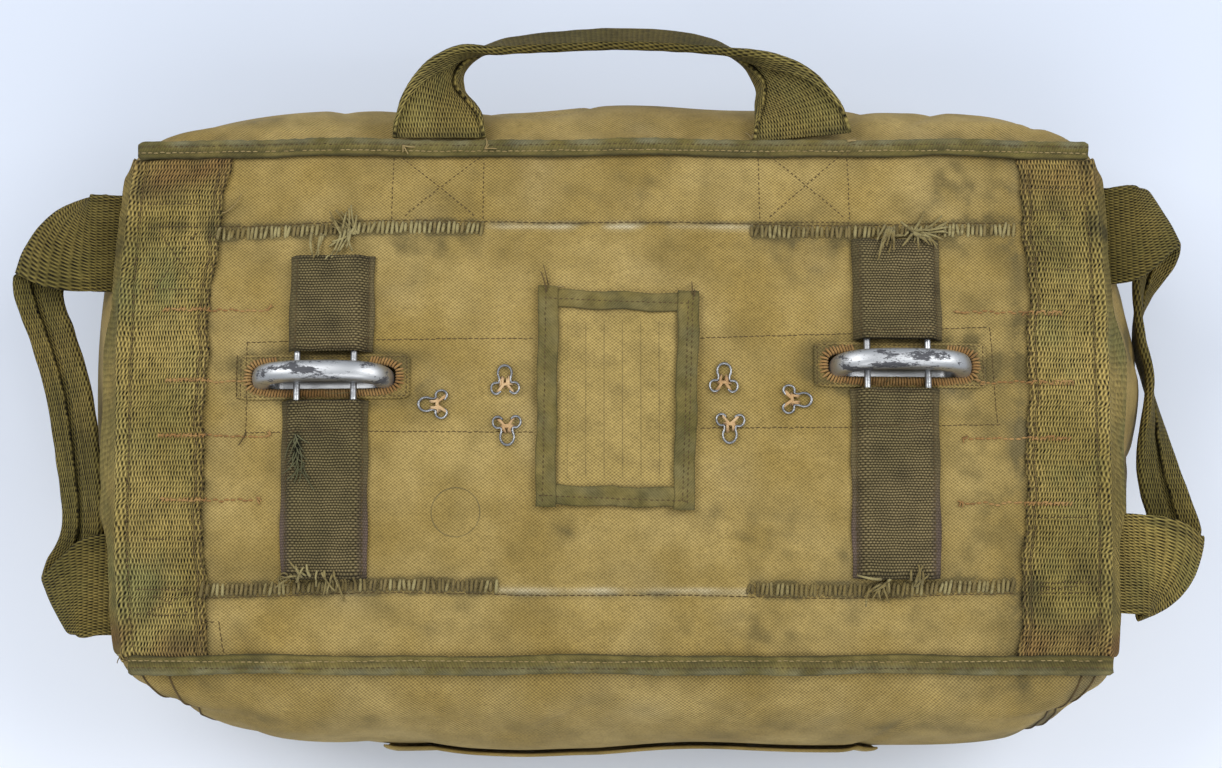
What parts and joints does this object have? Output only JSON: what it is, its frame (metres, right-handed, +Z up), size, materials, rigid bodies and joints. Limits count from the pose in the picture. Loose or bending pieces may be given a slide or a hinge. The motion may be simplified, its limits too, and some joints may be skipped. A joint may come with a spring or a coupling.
{
  "type": "packed parachute",
  "caption": "Packed chest parachute in a filled canvas container with webbing handles, steel harness rings in buttonholed slots, wires under tapes and a bound record pocket.",
  "frame": {"origin": "centre of the flat underside, on the ground", "axes": "+X along the long side, from the left handle to the right handle; +Y towards the long side with the top handle; +Z up, out of the back panel with the rings"},
  "size_m": [0.5415, 0.3331, 0.1535],
  "materials": {
    "body": "waxed cotton canvas, matt",
    "edge_webbing_left": "cotton webbing, matt",
    "edge_webbing_right": "cotton webbing, matt",
    "binding_top": "twill tape, matt",
    "binding_bottom": "twill tape, matt",
    "channel_tape_upper_left": "ribbed tape, matt",
    "channel_tape_lower_left": "ribbed tape, matt",
    "channel_tape_upper_right": "ribbed tape, matt",
    "channel_tape_lower_right": "ribbed tape, matt",
    "ring_wire_left_outer": "plated steel wire",
    "ring_wire_left_inner": "plated steel wire",
    "ring_wire_right_inner": "plated steel wire",
    "ring_wire_right_outer": "plated steel wire",
    "d_ring_left": "forged steel, worn plating",
    "d_ring_right": "forged steel, worn plating",
    "slot_patch_left": "canvas with rust thread",
    "slot_patch_right": "canvas with rust thread",
    "pocket_panel": "cotton canvas, matt",
    "pocket_binding": "twill tape, matt",
    "handle_top": "cotton webbing, matt",
    "handle_left": "cotton webbing, matt",
    "handle_right": "cotton webbing, matt",
    "side_flap_hem": "cotton canvas, matt",
    "wire_eye_1": "plated steel wire, dull",
    "wire_eye_2": "plated steel wire, dull",
    "wire_eye_3": "plated steel wire, dull",
    "wire_eye_4": "plated steel wire, dull",
    "wire_eye_5": "plated steel wire, dull",
    "wire_eye_6": "plated steel wire, dull"
  },
  "bodies": {
    "root": {"body": "body", "edge_webbing_left": "edge_webbing_left", "edge_webbing_right": "edge_webbing_right", "binding_top": "binding_top", "binding_bottom": "binding_bottom", "channel_tape_upper_left": "channel_tape_upper_left", "channel_tape_lower_left": "channel_tape_lower_left", "channel_tape_upper_right": "channel_tape_upper_right", "channel_tape_lower_right": "channel_tape_lower_right", "ring_wire_left_outer": "ring_wire_left_outer", "ring_wire_left_inner": "ring_wire_left_inner", "ring_wire_right_inner": "ring_wire_right_inner", "ring_wire_right_outer": "ring_wire_right_outer", "d_ring_left": "d_ring_left", "d_ring_right": "d_ring_right", "slot_patch_left": "slot_patch_left", "slot_patch_right": "slot_patch_right", "pocket_panel": "pocket_panel", "pocket_binding": "pocket_binding", "handle_top": "handle_top", "handle_left": "handle_left", "handle_right": "handle_right", "side_flap_hem": "side_flap_hem", "wire_eye_1": "wire_eye_1", "wire_eye_2": "wire_eye_2", "wire_eye_3": "wire_eye_3", "wire_eye_4": "wire_eye_4", "wire_eye_5": "wire_eye_5", "wire_eye_6": "wire_eye_6"}
  },
  "joints": []
}
